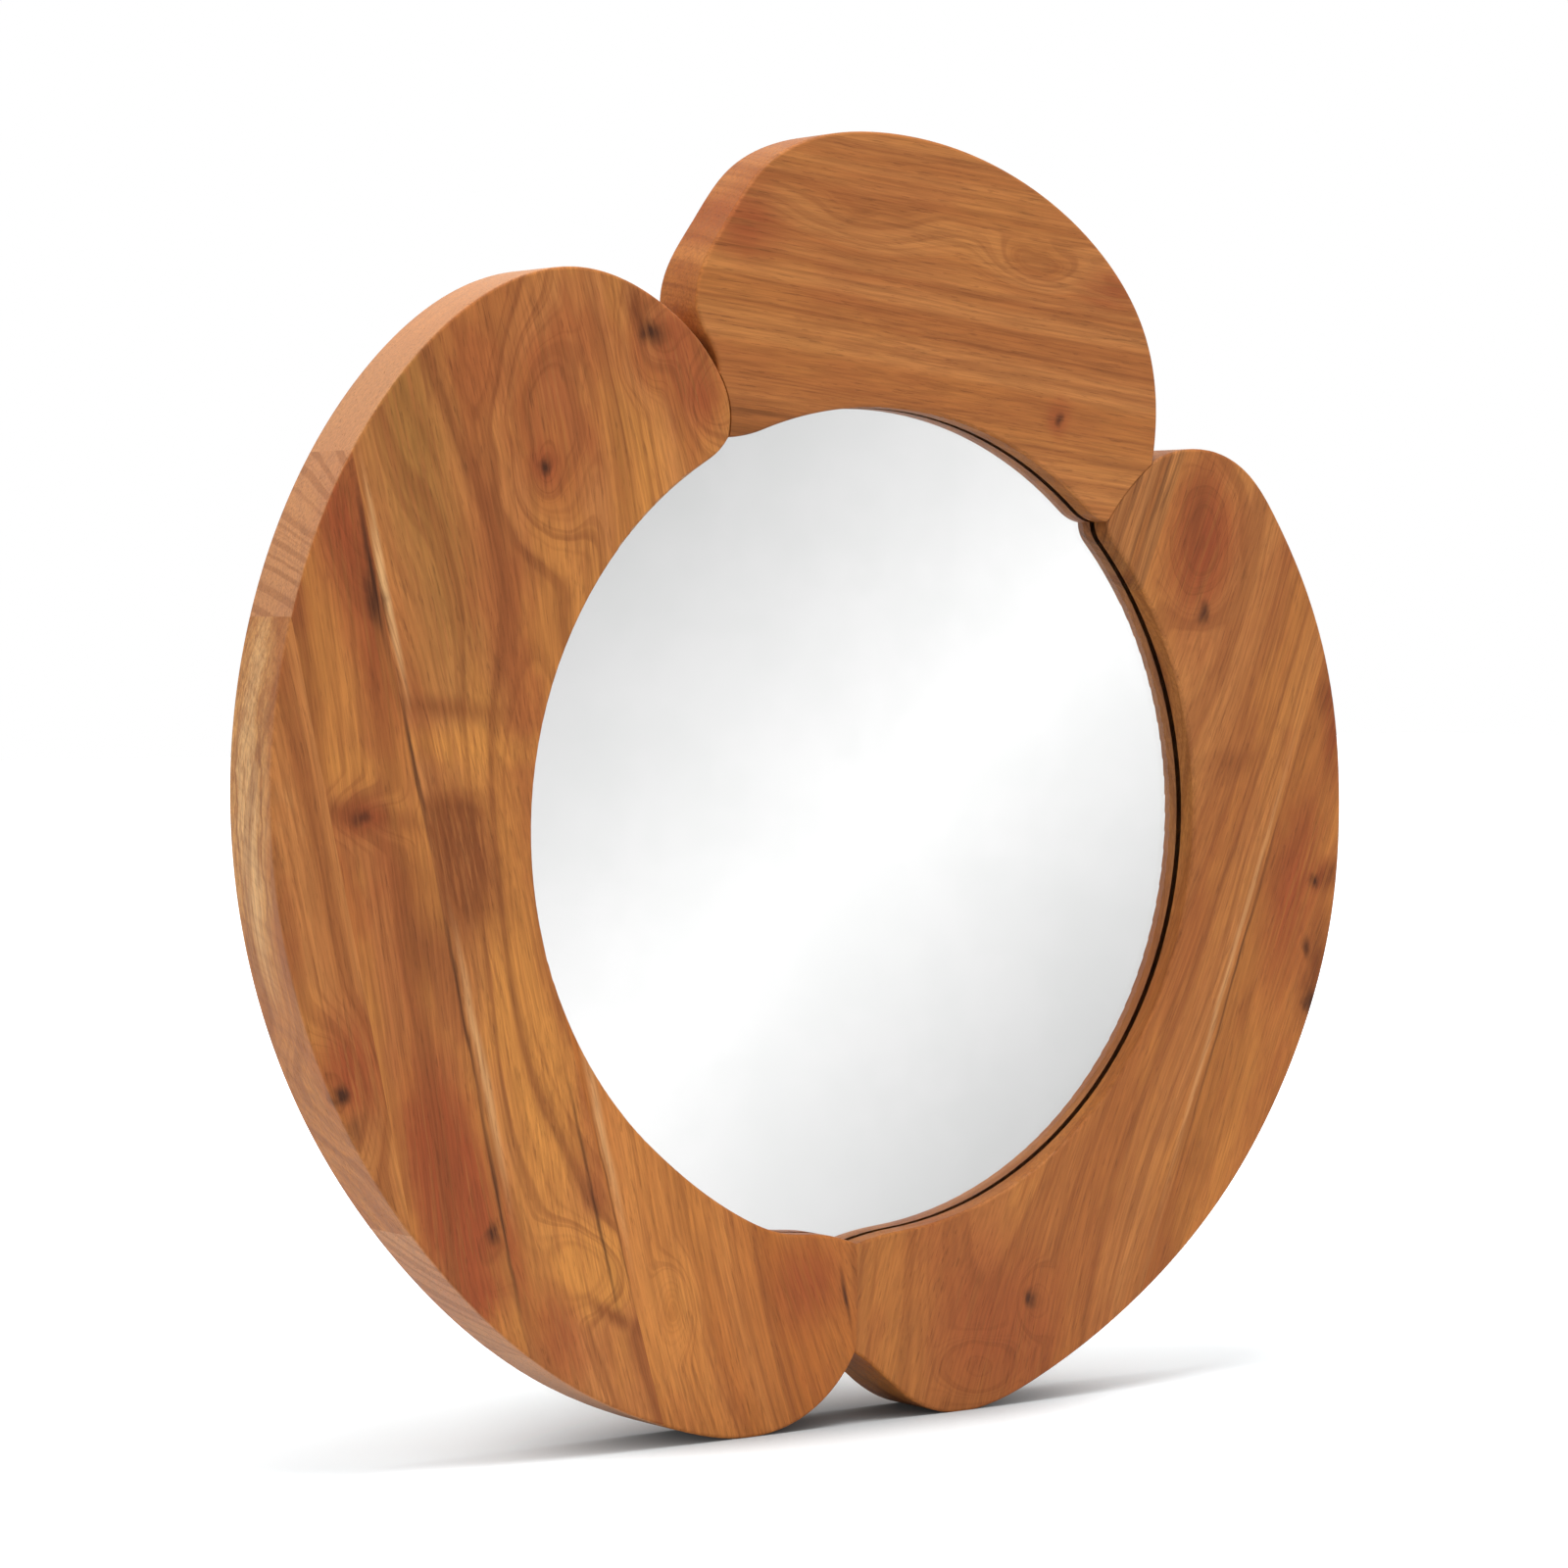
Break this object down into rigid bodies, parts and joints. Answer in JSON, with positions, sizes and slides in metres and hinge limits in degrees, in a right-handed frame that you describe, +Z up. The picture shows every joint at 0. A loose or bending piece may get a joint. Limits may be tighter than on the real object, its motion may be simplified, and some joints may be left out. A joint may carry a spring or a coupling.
{
  "type": "round wall mirror",
  "caption": "Round mirror recessed in a thick free-form frame of curved solid wood petals; it stands on its lower lobes or hangs from folding rings on its back.",
  "frame": {"origin": "middle of the base of the bounding box: on the floor, halfway across the width and the depth", "axes": "+Z up, the mirror faces -Y, +X to the right as seen by a person in front of it"},
  "size_m": [0.7962, 0.0544, 0.7796],
  "materials": {
    "left_edge_teak": "oiled, light sapwood streaks",
    "left_outer_teak": "oiled",
    "left_main_teak": "oiled, knotty swirling grain",
    "left_inner_teak": "oiled",
    "top_main_teak": "oiled, grain across",
    "top_strip_teak": "oiled, darker",
    "right_upper_teak": "oiled, striped",
    "right_main_teak": "oiled, striped",
    "right_outer_teak": "oiled, reddish",
    "dowel_beech": "plain beech",
    "clear_glass": "polished",
    "silvering": "silvered",
    "packer_rubber": "matt",
    "pad_foam": "matt foam",
    "backing_fibreboard": "brown fibreboard",
    "zinc_screws": "zinc plated",
    "strap_brass": "brass plated",
    "ring_brass": "brass plated",
    "bumper_rubber": "matt black"
  },
  "bodies": {
    "frame": {"left_petal_edge_board": "left_edge_teak", "left_petal_outer_board": "left_outer_teak", "left_petal_main_board": "left_main_teak", "left_petal_inner_board": "left_inner_teak", "top_petal_main_board": "top_main_teak", "top_petal_lower_strip": "top_strip_teak", "right_petal_upper_board": "right_upper_teak", "right_petal_main_board": "right_main_teak", "right_petal_outer_board": "right_outer_teak", "top_left_joint_dowels": "dowel_beech", "top_right_joint_dowels": "dowel_beech", "bottom_joint_dowels": "dowel_beech", "left_petal_glue_dowels": "dowel_beech", "right_petal_glue_dowels": "dowel_beech", "mirror_glass": "clear_glass", "mirror_silvering": "silvering", "glass_edge_packers": "packer_rubber", "glass_foam_pads": "pad_foam", "backing_board": "backing_fibreboard", "backing_board_screws": "zinc_screws", "left_hanger_strap": "strap_brass", "right_hanger_strap": "strap_brass", "left_hanger_screws": "zinc_screws", "right_hanger_screws": "zinc_screws", "left_wall_bumper": "bumper_rubber", "right_wall_bumper": "bumper_rubber"},
    "left_ring": {"left_hanger_ring": "ring_brass"},
    "right_ring": {"right_hanger_ring": "ring_brass"}
  },
  "joints": [
    {"name": "left_ring_hinge", "type": "hinge", "parent": "frame", "child": "left_ring", "pos_m": [-0.28704, 0.0238, 0.52931], "axis": [1, 0, 0], "range_deg": [0, 176]},
    {"name": "right_ring_hinge", "type": "hinge", "parent": "frame", "child": "right_ring", "pos_m": [0.29296, 0.0238, 0.52931], "axis": [1, 0, 0], "range_deg": [0, 176]}
  ]
}
